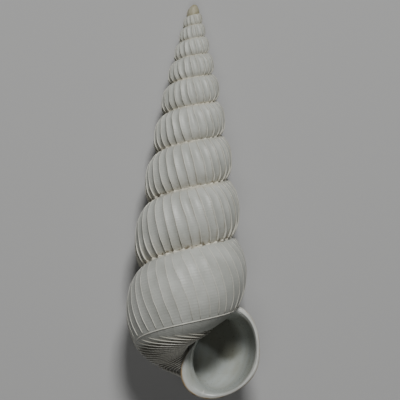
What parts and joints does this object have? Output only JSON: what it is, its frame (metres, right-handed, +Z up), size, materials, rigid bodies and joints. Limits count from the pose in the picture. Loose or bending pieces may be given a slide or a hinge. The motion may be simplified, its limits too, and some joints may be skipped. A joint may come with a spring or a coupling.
{
  "type": "wentletrap shell",
  "caption": "Tall spiral sea snail shell with fine slanting ribs, hollow up from its round lipped mouth, lying on its back.",
  "frame": {"origin": "on the resting plane, under the middle of the bounding box", "axes": "+Z up with the mouth facing up, +Y towards the tip, the mouth at the -Y end on the +X side"},
  "size_m": [0.017, 0.0494, 0.0153],
  "materials": {
    "shell": "chalky white shell with a soft sheen, cream and brown stains in the seams"
  },
  "bodies": {
    "root": {"shell": "shell"}
  },
  "joints": []
}
